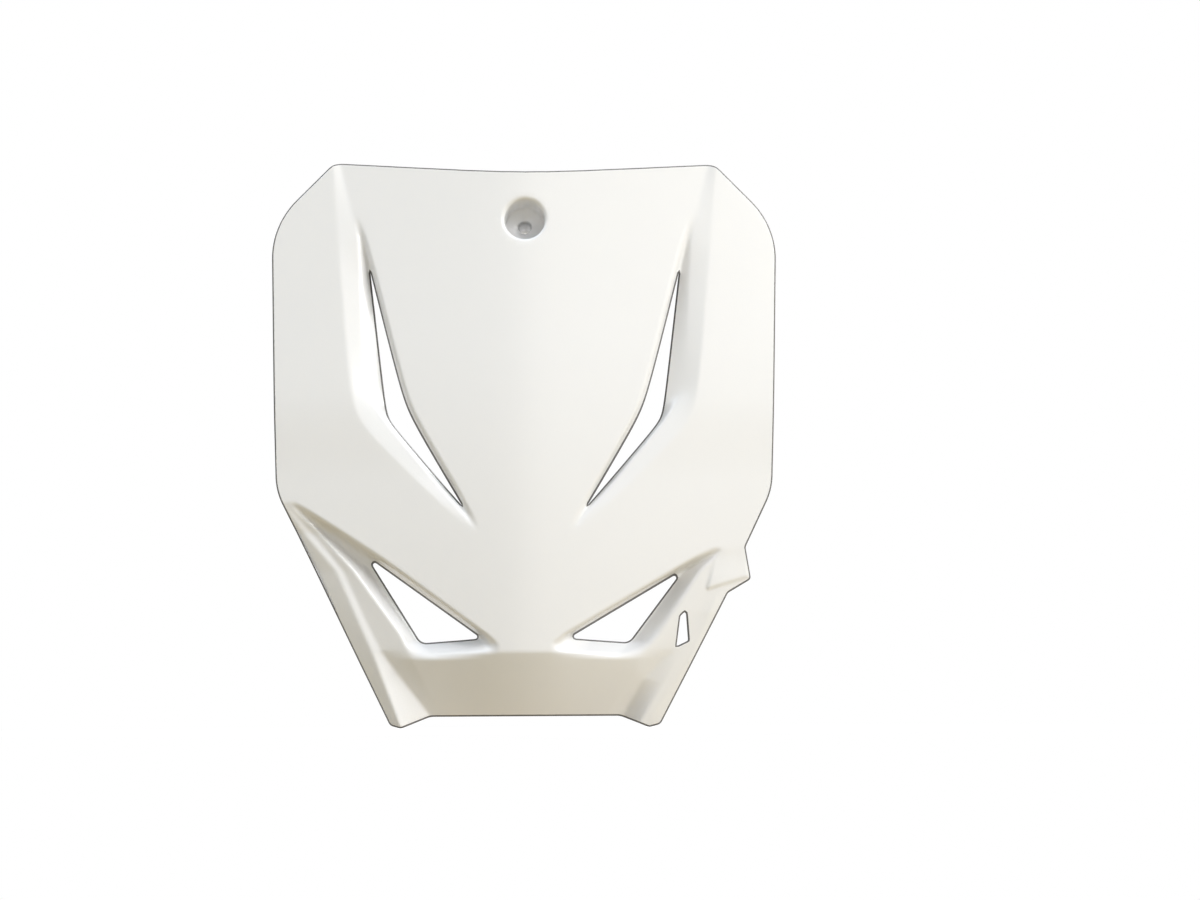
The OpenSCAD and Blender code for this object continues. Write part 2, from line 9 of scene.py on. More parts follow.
import bpy
import numpy as np
from mathutils import Matrix, Vector
from mathutils.geometry import delaunay_2d_cdt
from mathutils.kdtree import KDTree


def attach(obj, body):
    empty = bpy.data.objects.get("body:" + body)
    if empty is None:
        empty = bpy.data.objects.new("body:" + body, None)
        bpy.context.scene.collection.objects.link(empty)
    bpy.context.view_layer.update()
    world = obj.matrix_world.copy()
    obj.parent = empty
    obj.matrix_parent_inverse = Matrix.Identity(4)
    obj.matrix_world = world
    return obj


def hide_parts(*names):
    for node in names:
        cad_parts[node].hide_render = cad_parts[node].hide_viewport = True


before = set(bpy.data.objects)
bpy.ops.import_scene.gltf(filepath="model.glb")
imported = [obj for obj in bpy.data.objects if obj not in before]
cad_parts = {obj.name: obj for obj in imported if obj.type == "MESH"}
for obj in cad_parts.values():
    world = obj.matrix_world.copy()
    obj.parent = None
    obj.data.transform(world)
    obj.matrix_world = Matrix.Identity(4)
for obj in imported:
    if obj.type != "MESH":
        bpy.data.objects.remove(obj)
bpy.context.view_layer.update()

# Outline
TOP_WIDTH, TOP_RISE, TOP_CLIMB, TOP_SOFT = 183.0, 23.3, 0.1, 20.0
SHOULDER_WIDTH, SHOULDER_RISE = 244.0, 1.0
WING_WIDTH, WING_DROP = 236.0, 127.5
TIP_WIDTH, TIP_DROP = 129.0, 238.0
TOE_WIDTH, TOE_EXTRA = 118.0, 1.5
FOOT_WIDTH, FOOT_DROP = 91.0, 234.0
TOP_CORNER_R, SHOULDER_R, WING_R, TIP_R, FOOT_R = 9.0, 38.0, 32.0, 3.0, 9.0

# Wall, crown and bottom panel
WALL = 2.4
CREASE_FALL, CREASE_ROUND, CROWN_R = 0.13, 12.0, 2500.0
CHIN_START, CHIN_R = 60.0, 877.0
PANEL_FALL = 0.55

# Air channels, wings and slots
CHANNEL_TOP_X, CHANNEL_TOP_RISE = 79.5, 5.0
BEND_X, BEND_DROP = 55.0, 90.0
CHANNEL_END_X, CHANNEL_END_DROP = 20.0, 149.0
CHANNEL_DEPTH, CHANNEL_WALL, SLOPE_SHARE = 6.0, 1.5, 0.3
CHANNEL_FADE_IN, CHANNEL_FADE_OUT = 34.0, 26.0
WING_CREASE_TOP_X, WING_CREASE_BEND_X, WING_RISE = 92.0, 82.0, 1.5
WING_RISE_LEAD, WING_RISE_RUN = 34.0, 40.0
WING_END_IN, WING_END_BELOW = 9.0, 6.0
SLOT_TOP_DROP, SLOT_W, SLOT_END_DROP, SLOT_SOFT = 22.0, 8.7, 136.5, 0.6

# Nose, pockets, eyes and the ridge round the pockets
NOSE_X, NOSE_DROP, NOSE_FOLD = 12.6, 200.5, 4.0
POCKET_DEPTH, CHEEK_DROP = 11.5, 162.0
LEFT_CHEEK_X, RIGHT_CHEEK_X = 65.5, 78.5
RIGHT_END_X, RIGHT_END_DROP = 90.5, 156.0
LEFT_WALL_RUN, RIGHT_WALL_RUN = 3.2, 1.8
POCKET_OUT_X, POCKET_OUT_DROP = 72.5, 165.6
POCKET_IN_X, POCKET_IN_DROP = 22.9, 197.0
EYE_OUTER_X, LEFT_EYE_DROP, RIGHT_EYE_DROP = 75.0, 158.6, 165.6
EYE_INNER_X, EYE_INNER_DROP = 20.7, 197.6
EYE_LOW_X, EYE_LOW_DROP = 49.3, 199.5
EYE_R, EYE_LOW_R = 1.0, 5.0
RIDGE_DEPTH, RIDGE_X, RIDGE_DROP = 4.5, 53.4, 207.0

# Legs, tab with its pad, and slit
CREST_DEPTH, CREST_TIP_DEPTH, VALLEY_DIP, LEG_EDGE_DEPTH, GROOVE_DEPTH = 5.0, 7.5, 0.8, 14.0, 2.5
FOOT_SHARE = 0.84            # how much of the panel's fall the left leg's valley has at the foot
TAB_REACH, TAB_DROP, TAB_ABOVE, TAB_BELOW = 10.0, 170.0, 15.0, 6.6
TAB_ROOT_R, TAB_TIP_R = 3.0, 2.0
PAD_HEIGHT, PAD_L, PAD_INSET, PAD_RAMP, PAD_EDGE = 1.0, 20.0, 1.5, 0.8, 0.6
SLIT_X, SLIT_DROP, SLIT_L, SLIT_W, SLIT_SOFT = 74.6, 185.5, 15.0, 4.6, 0.35

# Cup with its boss, bolt hole and post
CUP_BORE, CUP_DEPTH, CUP_WALL, CUP_FLOOR, BOLT_HOLE = 19.2, 16.0, 2.2, 3.0, 6.5
POST_L, POST_D = 21.0, 13.0
CUP_LIP_R, BOSS_FOOT_R, BOSS_EDGE_R, FLOOR_EDGE_R = 1.9, 1.2, 0.8, 1.2
HOLE_EDGE, HOLE_END_EDGE, POST_EDGE, POST_FOOT = 0.35, 0.3, 0.5, 0.3

# How the lines of the face run on past the outline, bend and gather at the corners of the wings
MARGIN, BEND_SOFT, CREASE_SOFT, LEDGE, GATHER = 4.0, 3.0, 9.0, 0.4, 14.0
COLUMN_GAP, CHANNEL_GAP, SLOPE_GAP = 0.35, 1.0, 0.8
SPREAD_RUN, SPREAD_SHARES = 20.0, (0.25, 0.36, 0.47, 0.53, 0.6)

# How finely the shell is meshed
CELL = 0.5                   # cell of the height fields
FILLET, BACK_FILLET, PAD_FILLET = 1.3, 1.0, 0.6   # spread of their soft edges, in cells
BELL_REACH = 3               # how many spreads a bell curve reaches out
SOFTEN_STEP, SLOT_ROWS, CUP_SEGMENTS, CORNER_POINTS = 0.2, 90, 96, 14
FINE, EDGE_STEP = 0.62, 0.75
BACK_FINE = FINE * 1.4
BEND_SPREAD, SHARP_BEND, SLIGHT_BEND = 1.5, 0.075, 0.012
LATTICE_INSET, RIM_CLEARANCE, MITRE_LIMIT = 3, 0.42, 0.7
FRONT_EDGE_R, BACK_EDGE_R, GUARD = 0.75, 0.4, 0.35
BATCH = 2000                 # points tested at a time
FAR, WELD = 1e9, 1e-6        # beyond any distance here, and closer than any two points
MM_PER_METRE = 1000
FACE, BACK, RIM = 0, 1, 2    # index of each material; the rim's is painted shade


def clamp01(t):
    return min(max(t, 0.0), 1.0)


def ease(t):
    s = np.clip(t, 0, 1)
    return s * s * (3 - 2 * s)


def on_line(z, a, b):
    return a[0] + (b[0] - a[0]) * (z - a[1]) / (b[1] - a[1])


def bent_line(z, top, bend, end, soft=BEND_SOFT):
    p, q = on_line(z, top, bend), on_line(z, bend, end)
    return (p + q - math.sqrt((p - q) ** 2 + soft ** 2)) / 2


def look(z, table):
    """The value at height z in a table of [height, value] that runs downwards."""
    return float(np.interp(-z, [-row[0] for row in table], [row[1] for row in table]))


# Lines of the face. Their tables hold rows of [height, half distance] or [height, depth], from the top
# down. A number added to a named place there sets the line apart from that place.
CHANNEL_BEND = (BEND_X, -BEND_DROP)
CHANNEL_END = (CHANNEL_END_X, -CHANNEL_END_DROP)
LEFT_END = (WING_WIDTH / 2 - WING_END_IN, -WING_DROP - WING_END_BELOW)
RIGHT_END = (RIGHT_END_X, -RIGHT_END_DROP)
CHEEK_Z, POCKET_OUT_Z, POCKET_IN_Z, EYE_LOW_Z = -CHEEK_DROP, -POCKET_OUT_DROP, -POCKET_IN_DROP, -EYE_LOW_DROP
NOSE_Z, NOSE_FOLD_Z, RIDGE_Z = -NOSE_DROP, -NOSE_DROP - NOSE_FOLD, -RIDGE_DROP
SLIT_Z, FOOT_Z, TIP_Z = -SLIT_DROP, -FOOT_DROP, -TIP_DROP
FOOT_X, TIP_X = FOOT_WIDTH / 2, TIP_WIDTH / 2
SHEET_TOP = TOP_RISE + TOP_CLIMB * TOP_WIDTH / 2 + 2 * MARGIN
SHEET_BOTTOM = TIP_Z - TOE_EXTRA - MARGIN


def panel_edge_x(z):
    return bent_line(z, (CHANNEL_TOP_X, CHANNEL_TOP_RISE), CHANNEL_BEND, CHANNEL_END)


def slot_inner_x(z):
    return panel_edge_x(z) + CHANNEL_WALL + LEDGE


SLOT_BEND = (BEND_X + CHANNEL_WALL + LEDGE + SLOT_W, -BEND_DROP - 4)


def slot_outer_x(z):
    return bent_line(z, (slot_inner_x(-SLOT_TOP_DROP), -SLOT_TOP_DROP), SLOT_BEND,
                     (slot_inner_x(-SLOT_END_DROP), -SLOT_END_DROP))


def wing_crease_x(z):
    return bent_line(z, (WING_CREASE_TOP_X, TOP_RISE), (WING_CREASE_BEND_X, -BEND_DROP - 5),
                     (CHANNEL_END_X + 2, -CHANNEL_END_DROP - 3), CREASE_SOFT)


def slope_x(z):
    """Where the steep part of a channel's outer slope ends, half way out to the crease of the wing."""
    return bent_line(z, (CHANNEL_TOP_X + 0.5, CHANNEL_TOP_RISE),
                     ((WING_CREASE_BEND_X + SLOT_BEND[0]) / 2 + 2.5, -BEND_DROP + 8),
                     (CHANNEL_END_X + 1, -CHANNEL_END_DROP - 1))


def channel_depth_at(z):
    fade_in = ease((CHANNEL_TOP_RISE - z) / CHANNEL_FADE_IN)
    return CHANNEL_DEPTH * fade_in * ease((z + CHANNEL_END_DROP) / CHANNEL_FADE_OUT)


def leg_edge_x(z):
    return on_line(z, (WING_WIDTH / 2, -WING_DROP), (TIP_X, TIP_Z))


def panel_depth(z):
    return max(NOSE_FOLD_Z - z, 0) * PANEL_FALL


LOW_DEPTH = RIDGE_DEPTH + (FOOT_DROP - RIDGE_DROP) * PANEL_FALL * FOOT_SHARE
PANEL_END = (SHEET_BOTTOM, panel_depth(SHEET_BOTTOM))


def pocket_lines(right):
    """Lines from the cheek down into the pocket."""
    end_x, end_z = RIGHT_END if right else LEFT_END
    cheek_at = RIGHT_CHEEK_X if right else LEFT_CHEEK_X
    run = RIGHT_WALL_RUN if right else LEFT_WALL_RUN
    cheek_x = [(end_z, end_x), (CHEEK_Z, cheek_at), (NOSE_Z, NOSE_X), (SHEET_BOTTOM, NOSE_X - 4)]
    cheek_depth = [(NOSE_Z, 0), (NOSE_FOLD_Z, 0), (RIDGE_Z, panel_depth(RIDGE_Z)), PANEL_END]
    in_x = [(end_z, end_x + 0.9), (CHEEK_Z, cheek_at + run),
            (POCKET_IN_Z, look(POCKET_IN_Z, cheek_x) + run + 0.5),
            (RIDGE_Z, NOSE_X + 5), (SHEET_BOTTOM, NOSE_X + 1)]
    mid_x = [(end_z, end_x + 1.8), (CHEEK_Z, cheek_at + run + 1.2), (POCKET_IN_Z, POCKET_IN_X + 8),
             (RIDGE_Z, POCKET_IN_X + 4), (SHEET_BOTTOM, POCKET_IN_X - 3)]
    out_x = [(end_z, end_x + 2.6), (POCKET_OUT_Z, POCKET_OUT_X + (3.4 if right else 1.2)),
             (EYE_LOW_Z, EYE_LOW_X + 1), (RIDGE_Z, RIDGE_X - 12), (SHEET_BOTTOM, EYE_LOW_X - 21)]
    if right:
        start = [(end_z, 0), (POCKET_OUT_Z, POCKET_DEPTH * 0.9)]
    else:
        start = [(end_z, 0), (end_z - GATHER, POCKET_DEPTH * 0.65), (POCKET_OUT_Z, POCKET_DEPTH)]
    in_depth = start + [(POCKET_IN_Z, POCKET_DEPTH * 0.85), (EYE_LOW_Z, POCKET_DEPTH * 0.5),
                        (NOSE_FOLD_Z, 0.6), (RIDGE_Z, RIDGE_DEPTH * 0.35), PANEL_END]
    mid_depth = start + [(POCKET_IN_Z, POCKET_DEPTH), (EYE_LOW_Z, POCKET_DEPTH * 0.9),
                         (NOSE_FOLD_Z, RIDGE_DEPTH * 0.55), (RIDGE_Z, RIDGE_DEPTH * 0.53), PANEL_END]
    out_depth = start + [(EYE_LOW_Z, POCKET_DEPTH), (NOSE_FOLD_Z, RIDGE_DEPTH * 1.25),
                         (RIDGE_Z, RIDGE_DEPTH * 0.8), PANEL_END]
    return [(cheek_x, cheek_depth), (in_x, in_depth), (mid_x, mid_depth), (out_x, out_depth)]


def left_leg_lines():
    """Lines of the left leg, from the ridge of the pocket out to the leg's crest."""
    end_x, end_z = LEFT_END
    gather_z = end_z - GATHER
    ridge_x = [(end_z, end_x + 3.4), (gather_z, end_x - 11.9), (POCKET_OUT_Z, POCKET_OUT_X + 8.2),
               (RIDGE_Z + 12, RIDGE_X + 5.4), (RIDGE_Z, RIDGE_X), (SHEET_BOTTOM, RIDGE_X - 18)]
    ridge_depth = [(end_z, 0), (gather_z, RIDGE_DEPTH), (RIDGE_Z, RIDGE_DEPTH), PANEL_END]
    valley_x = [(end_z, end_x + 4.3), (gather_z, end_x - 8.4), (POCKET_OUT_Z, POCKET_OUT_X + 13.5),
                (SLIT_Z - 3, SLIT_X + 0.9), (RIDGE_Z + 4, SLIT_X - 6.6),
                (FOOT_Z + 2, FOOT_X + 1.3), (SHEET_BOTTOM, FOOT_X - 6)]
    valley_depth = [(end_z, 0), (gather_z, CREST_DEPTH + 0.2), (POCKET_OUT_Z, CREST_DEPTH + VALLEY_DIP),
                    (SLIT_Z - 3, CREST_DEPTH + 1.5 * VALLEY_DIP),
                    (RIDGE_Z + 4, CREST_DEPTH + 2 * VALLEY_DIP), (FOOT_Z, LOW_DEPTH), PANEL_END]
    crest_x = [(end_z, end_x + 6.5), (gather_z, end_x - 4.4), (POCKET_OUT_Z, POCKET_OUT_X + 16.7),
               (RIDGE_Z, SLIT_X - 3.7), (TIP_Z, TIP_X - 5), (SHEET_BOTTOM, TIP_X - 7)]
    crest_depth = [(end_z, 0), (gather_z, CREST_DEPTH * 0.8), (POCKET_OUT_Z, CREST_DEPTH),
                   (RIDGE_Z, CREST_DEPTH + 0.5), (TIP_Z, CREST_TIP_DEPTH),
                   (SHEET_BOTTOM, CREST_TIP_DEPTH + 1)]
    return [(ridge_x, ridge_depth), (valley_x, valley_depth), (crest_x, crest_depth)]


def right_leg_lines():
    """Lines of the right leg: its crest stands out only below the slit, beside the groove."""
    end_x, end_z = RIGHT_END
    groove_z, low_z = RIDGE_Z - 10, FOOT_Z + 4
    ridge_x = [(end_z, end_x + 3.4), (POCKET_OUT_Z, POCKET_OUT_X + 10.6), (RIDGE_Z + 12, RIDGE_X + 10.6),
               (RIDGE_Z, RIDGE_X), (RIDGE_Z - 6, RIDGE_X - 0.4), (groove_z, RIDGE_X - 3.4),
               (low_z, FOOT_X - 4.5), (SHEET_BOTTOM, FOOT_X - 13.5)]
    ridge_depth = [(end_z, 0), (POCKET_OUT_Z, RIDGE_DEPTH * 0.35), (RIDGE_Z + 12, RIDGE_DEPTH * 0.8),
                   (RIDGE_Z, RIDGE_DEPTH), PANEL_END]
    valley_x = [(end_z, end_x + 5.4), (POCKET_OUT_Z, POCKET_OUT_X + 15.5), (SLIT_Z - 3, SLIT_X + 7),
                (SLIT_Z - SLIT_L - 0.5, SLIT_X - 2.6), (RIDGE_Z - 1, SLIT_X - 10),
                (groove_z, SLIT_X - 18.6), (low_z, FOOT_X + 3.5), (SHEET_BOTTOM, FOOT_X - 3.5)]
    valley_depth = [(end_z, 0), (POCKET_OUT_Z, RIDGE_DEPTH * 0.25), (SLIT_Z, RIDGE_DEPTH * 0.6),
                    (RIDGE_Z + 4, RIDGE_DEPTH + 0.8), (groove_z, LOW_DEPTH - 8 + GROOVE_DEPTH / 2),
                    (low_z, LOW_DEPTH - 1.8 + GROOVE_DEPTH), (SHEET_BOTTOM, PANEL_END[1] + GROOVE_DEPTH)]
    in_x = [(end_z, end_x + 8.4), (POCKET_OUT_Z, POCKET_OUT_X + 19.5), (SLIT_Z - 3, SLIT_X + 10),
            (RIDGE_Z + 4, SLIT_X + 1.4), (RIDGE_Z - 1, SLIT_X - 3.4), (groove_z, SLIT_X - 8.1),
            (low_z, FOOT_X + 13), (SHEET_BOTTOM, FOOT_X + 5.5)]
    in_depth = [(end_z, 0), (POCKET_OUT_Z, RIDGE_DEPTH * 0.2), (SLIT_Z, RIDGE_DEPTH * 0.5),
                (RIDGE_Z + 4, CREST_DEPTH - 0.3), (FOOT_Z, CREST_TIP_DEPTH + 2.5),
                (SHEET_BOTTOM, CREST_TIP_DEPTH + 4)]
    out_x = [(end_z, end_x + 11.4), (POCKET_OUT_Z, POCKET_OUT_X + 23), (RIDGE_Z, SLIT_X + 4.4),
             (TIP_Z, TIP_X - 7), (SHEET_BOTTOM, TIP_X - 10)]
    out_depth = [(end_z, 0), (POCKET_OUT_Z, RIDGE_DEPTH * 0.15), (SLIT_Z, RIDGE_DEPTH * 0.4),
                 (RIDGE_Z, CREST_DEPTH), (TIP_Z, CREST_TIP_DEPTH + 3), (SHEET_BOTTOM, CREST_TIP_DEPTH + 4)]
    return [(ridge_x, ridge_depth), (valley_x, valley_depth), (in_x, in_depth), (out_x, out_depth)]


LEFT_LINES = pocket_lines(False) + left_leg_lines()
RIGHT_LINES = pocket_lines(True) + right_leg_lines()
LEFT_SIDE_DEPTH = [(LEFT_END[1], 0), (LEFT_END[1] - GATHER, LEG_EDGE_DEPTH * 0.45),
                   (POCKET_OUT_Z, LEG_EDGE_DEPTH * 0.65), (RIDGE_Z, LEG_EDGE_DEPTH * 0.85),
                   (SHEET_BOTTOM, LEG_EDGE_DEPTH + 3)]
RIGHT_SIDE_DEPTH = [(RIGHT_END[1], 0), (-TAB_DROP, RIDGE_DEPTH * 0.2), (SLIT_Z, RIDGE_DEPTH * 0.6),
                    (RIDGE_Z, LEG_EDGE_DEPTH * 0.5), (SHEET_BOTTOM, LEG_EDGE_DEPTH * 0.9)]

TAB_TOP_Z, TAB_LOW_Z = -TAB_DROP + TAB_ABOVE, -TAB_DROP - TAB_BELOW
TAB_EXTRA_X = [(TAB_TOP_Z + 10, 0), (TAB_TOP_Z, TAB_REACH * 0.3 + 2), (-TAB_DROP - 1, TAB_REACH + 3),
               (TAB_LOW_Z - 2, 3), (TAB_LOW_Z - 10, 0)]
SIDE_X = [(SHEET_TOP, SHOULDER_WIDTH / 2 + MARGIN), (-WING_DROP, WING_WIDTH / 2 + MARGIN),
          (TIP_Z, TIP_X + MARGIN), (SHEET_BOTTOM, TIP_X + MARGIN / 4)]


def sheet_side_x(z, right):
    return look(z, SIDE_X) + (look(z, TAB_EXTRA_X) if right else 0)


def half_row(z, right):
    """One row of the face on one side: half distances from the middle, and depths below the crown.

    The first columns follow the channel. Below its end they spread out over the chin and the nose.
    """
    spread = look(z, LEFT_LINES[0][0]) * clamp01((-CHANNEL_END_DROP - z) / SPREAD_RUN)
    least = [share * spread for share in SPREAD_SHARES]
    a = max(panel_edge_x(z), least[0])
    foot = max(panel_edge_x(z) + CHANNEL_WALL, a + CHANNEL_GAP, least[1])
    outer = max(slot_outer_x(z) + LEDGE, foot + CHANNEL_GAP, least[2])
    slope = max(slope_x(z), outer + SLOPE_GAP, least[3])
    b = max(wing_crease_x(z), slope + CHANNEL_GAP, least[4])
    lines, end = (RIGHT_LINES, RIGHT_END) if right else (LEFT_LINES, LEFT_END)
    over, side = clamp01((z - end[1]) / GATHER), sheet_side_x(z, right)
    low, deep = panel_depth(z), channel_depth_at(z)
    rise = WING_RISE * ease((z + BEND_DROP + WING_RISE_LEAD) / WING_RISE_RUN)
    line_xs = [look(z, line) * (1 - over) + (b + (side - b) * n / (len(lines) + 1)) * over
               for n, (line, _) in enumerate(lines, 1)]
    xs = [0, a, foot, outer, slope, b, (b + line_xs[0]) / 2] + line_xs + [side]
    ds = [low, low, low + deep, low + deep, low + deep * SLOPE_SHARE, low - rise, low - rise]
    ds += [look(z, depth) - rise for _, depth in lines]
    ds.append(look(z, RIGHT_SIDE_DEPTH if right else LEFT_SIDE_DEPTH) - rise)
    for n in range(1, len(xs)):
        xs[n] = max(xs[n], xs[n - 1] + COLUMN_GAP)
    return np.array(xs), np.array(ds)


# Height fields, on a grid a little larger than the board
GRID_HALF, GRID_LOW, GRID_HIGH = 134, -250, 46
GRID_X = np.arange(-GRID_HALF, GRID_HALF + CELL / 2, CELL)
GRID_Z = np.arange(GRID_LOW, GRID_HIGH + CELL / 2, CELL)


def bell(half, spread, step=1):
    """Weights of a bell curve over steps on both sides of its middle, which add up to 1."""
    weights = np.exp(-(np.arange(-half, half + 1) * step) ** 2 / (2 * spread ** 2))
    return weights / weights.sum()


def blurred(field, cells):
    """A field with its edges softened over a few cells."""
    half = int(math.ceil(BELL_REACH * cells))
    weights = bell(half, cells)
    for axis in (0, 1):
        size = field.shape[axis]
        padded = np.pad(field, [(half, half) if a == axis else (0, 0) for a in (0, 1)], mode="edge")
        field = sum(w * np.take(padded, range(n, n + size), axis=axis) for n, w in enumerate(weights))
    return field


def spread_behind(field, wall):
    """The back of a shell whose front is the field: the envelope of balls of the wall's radius."""
    cells = int(wall / CELL)
    best = field + wall
    padded = np.pad(field, cells, mode="edge")
    rows, columns = field.shape
    for dz in range(-cells, cells + 1):
        for dx in range(-cells, cells + 1):
            room = wall ** 2 - (dz * CELL) ** 2 - (dx * CELL) ** 2
            if room > 0:
                shifted = padded[cells + dz:cells + dz + rows, cells + dx:cells + dx + columns]
                best = np.maximum(best, shifted + math.sqrt(room))
    return best


def inside_distance(x, z, corners):
    """How far inside a convex patch a point lies."""
    middle = np.mean(corners, axis=0)
    least = np.full(np.broadcast(x, z).shape, FAR)
    for p, q in zip(corners, corners[1:] + corners[:1]):
        normal = np.array([q[1] - p[1], p[0] - q[0]])
        normal /= np.hypot(*normal)
        if normal @ (middle - p) < 0:
            normal = -normal
        least = np.minimum(least, (x - p[0]) * normal[0] + (z - p[1]) * normal[1])
    return least


def pad_field(x, z):
    """How far the pad on the tab stands out at each place."""
    low_x = leg_edge_x(-TAB_DROP) + TAB_REACH - PAD_INSET
    corners = [(low_x, -TAB_DROP + 1), (low_x - 1, TAB_TOP_Z - 2),
               (low_x - PAD_L + 4, TAB_TOP_Z - 6), (low_x - PAD_L, -TAB_DROP - 5)]
    along = ease((corners[1][1] - z) / (PAD_RAMP * (TAB_TOP_Z - TAB_LOW_Z)))
    return PAD_HEIGHT * along * ease((inside_distance(x, z, corners) + PAD_EDGE / 2) / PAD_EDGE)


def face_field():
    """The front of the shell, as y for each row and column of the grid."""
    depth = np.zeros((len(GRID_Z), len(GRID_X)))
    left, right = GRID_X < 0, GRID_X >= 0
    for k, z in enumerate(GRID_Z):
        for part, is_right in ((left, False), (right, True)):
            xs, ds = half_row(max(min(z, SHEET_TOP), SHEET_BOTTOM), is_right)
            depth[k, part] = np.interp(np.abs(GRID_X[part]), xs, ds)
    x, z = np.meshgrid(GRID_X, GRID_Z)
    crease = (np.sqrt(x ** 2 + CREASE_ROUND ** 2) - CREASE_ROUND) * CREASE_FALL
    crown = crease + x ** 2 / (2 * CROWN_R) + np.maximum(-CHIN_START - z, 0) ** 2 / (2 * CHIN_R)
    return crown + depth - CUP_DEPTH


def sampled(field, points):
    """A field at scattered points [x, z], by cubic B-splines."""
    u = (points[:, 0] - GRID_X[0]) / CELL
    v = (points[:, 1] - GRID_Z[0]) / CELL
    i, k = np.floor(u).astype(int), np.floor(v).astype(int)

    def weights(t):
        return [(1 - t) ** 3 / 6, (3 * t ** 3 - 6 * t ** 2 + 4) / 6,
                (-3 * t ** 3 + 3 * t ** 2 + 3 * t + 1) / 6, t ** 3 / 6]

    total = np.zeros(len(points))
    for m, wv in enumerate(weights(v - k)):
        row = np.clip(k + m - 1, 0, len(GRID_Z) - 1)
        for n, wu in enumerate(weights(u - i)):
            column = np.clip(i + n - 1, 0, len(GRID_X) - 1)
            total += wv * wu * field[row, column]
    return total


# Outlines
def unit(v):
    return v / np.hypot(*v)


def rounded(corners):
    """An outline [x, z] with its corners rounded: each corner is [x, z, radius]."""
    out = []
    for n, at in enumerate(corners):
        p = np.array(at[:2])
        if at[2] == 0:
            out.append(p)
            continue
        u = unit(np.array(corners[n - 1][:2]) - p)
        v = unit(np.array(corners[(n + 1) % len(corners)][:2]) - p)
        turn = math.acos(max(min(u @ v, 1), -1))
        back = at[2] / math.tan(turn / 2)
        centre = p + unit(u + v) * back / math.cos(turn / 2)
        start = p + u * back - centre
        end = p + v * back - centre
        sweep = (math.pi - turn) * np.sign(start[0] * end[1] - start[1] * end[0])
        for angle in np.linspace(0, sweep, CORNER_POINTS):
            c, s = math.cos(angle), math.sin(angle)
            out.append(centre + [start[0] * c - start[1] * s, start[0] * s + start[1] * c])
    return np.array(out)


def area(loop):
    x, z = loop[:, 0], loop[:, 1]
    return 0.5 * np.sum(x * np.roll(z, -1) - z * np.roll(x, -1))


def resampled(loop, step):
    closed = np.vstack([loop, loop[:1]])
    run = np.concatenate([[0], np.cumsum(np.hypot(*np.diff(closed, axis=0).T))])
    count = int(round(run[-1] / step))
    places = np.linspace(0, run[-1], count, endpoint=False)
    return np.stack([np.interp(places, run, closed[:, c]) for c in (0, 1)], 1)


def softened(loop, spread):
    """A closed outline with its corners softened over a length."""
    fine = resampled(loop, SOFTEN_STEP)
    half = int(BELL_REACH * spread / SOFTEN_STEP)
    weights = bell(half, spread, SOFTEN_STEP)
    return sum(w * np.roll(fine, n - half, axis=0) for n, w in enumerate(weights))


def mirrored(corners):
    return [(-x, z, r) for x, z, r in reversed(corners)]


def top_edge_z(x):
    return TOP_RISE + TOP_CLIMB * (math.sqrt(x * x + TOP_SOFT ** 2) - TOP_SOFT)


def board_outline():
    half = TOP_WIDTH / 2
    upper = [(half * share, top_edge_z(half * share), 0) for share in (0.12, 0.3, 0.6)]
    upper += [(half, top_edge_z(half), TOP_CORNER_R), (SHOULDER_WIDTH / 2, SHOULDER_RISE, SHOULDER_R),
              (WING_WIDTH / 2, -WING_DROP, WING_R)]
    tab = [(leg_edge_x(TAB_TOP_Z), TAB_TOP_Z, TAB_ROOT_R),
           (leg_edge_x(-TAB_DROP) + TAB_REACH, -TAB_DROP, TAB_TIP_R),
           (leg_edge_x(TAB_LOW_Z) + 2, TAB_LOW_Z, TAB_ROOT_R)]
    leg = [(TIP_X, TIP_Z, TIP_R), (TOE_WIDTH / 2, TIP_Z - TOE_EXTRA, TIP_R), (FOOT_X, FOOT_Z, FOOT_R)]
    return rounded([(0, TOP_RISE, 0)] + upper + tab + leg + mirrored(upper + leg))


def slot_outline(side):
    heights = np.linspace(-SLOT_TOP_DROP, -SLOT_END_DROP, SLOT_ROWS)
    inner = [(side * slot_inner_x(z), z) for z in heights]
    outer = [(side * slot_outer_x(z), z) for z in heights[-2:0:-1]]
    return softened(np.array(inner + outer), SLOT_SOFT)


def eye_outline(side):
    outer_drop = LEFT_EYE_DROP if side < 0 else RIGHT_EYE_DROP
    return rounded([(side * EYE_OUTER_X, -outer_drop, EYE_R), (side * EYE_INNER_X, -EYE_INNER_DROP, EYE_R),
                    (side * EYE_LOW_X, EYE_LOW_Z, EYE_LOW_R)])


def slit_outline():
    low_z = SLIT_Z - SLIT_L
    return softened(np.array([
        (SLIT_X + 0.9, SLIT_Z), (SLIT_X - 1.2, SLIT_Z - 2), (SLIT_X - SLIT_W / 2 - 0.6, low_z - 1),
        (SLIT_X + SLIT_W / 2 + 0.4, low_z + 1.6), (SLIT_X + 1.6, SLIT_Z - 0.6)]), SLIT_SOFT)


def circle(radius):
    angles = np.arange(CUP_SEGMENTS) * 2 * math.pi / CUP_SEGMENTS
    return np.stack([radius * np.cos(angles), radius * np.sin(angles)], 1)


def outward(loop):
    """For each point of a loop that keeps the material on its left: the way out of it, mitred."""
    ahead = np.roll(loop, -1, axis=0) - loop
    ahead /= np.hypot(*ahead.T)[:, None]
    normal = np.stack([ahead[:, 1], -ahead[:, 0]], 1)
    both = normal + np.roll(normal, 1, axis=0)
    both /= np.hypot(*both.T)[:, None]
    return both / np.maximum(np.sum(both * normal, axis=1), MITRE_LIMIT)[:, None]


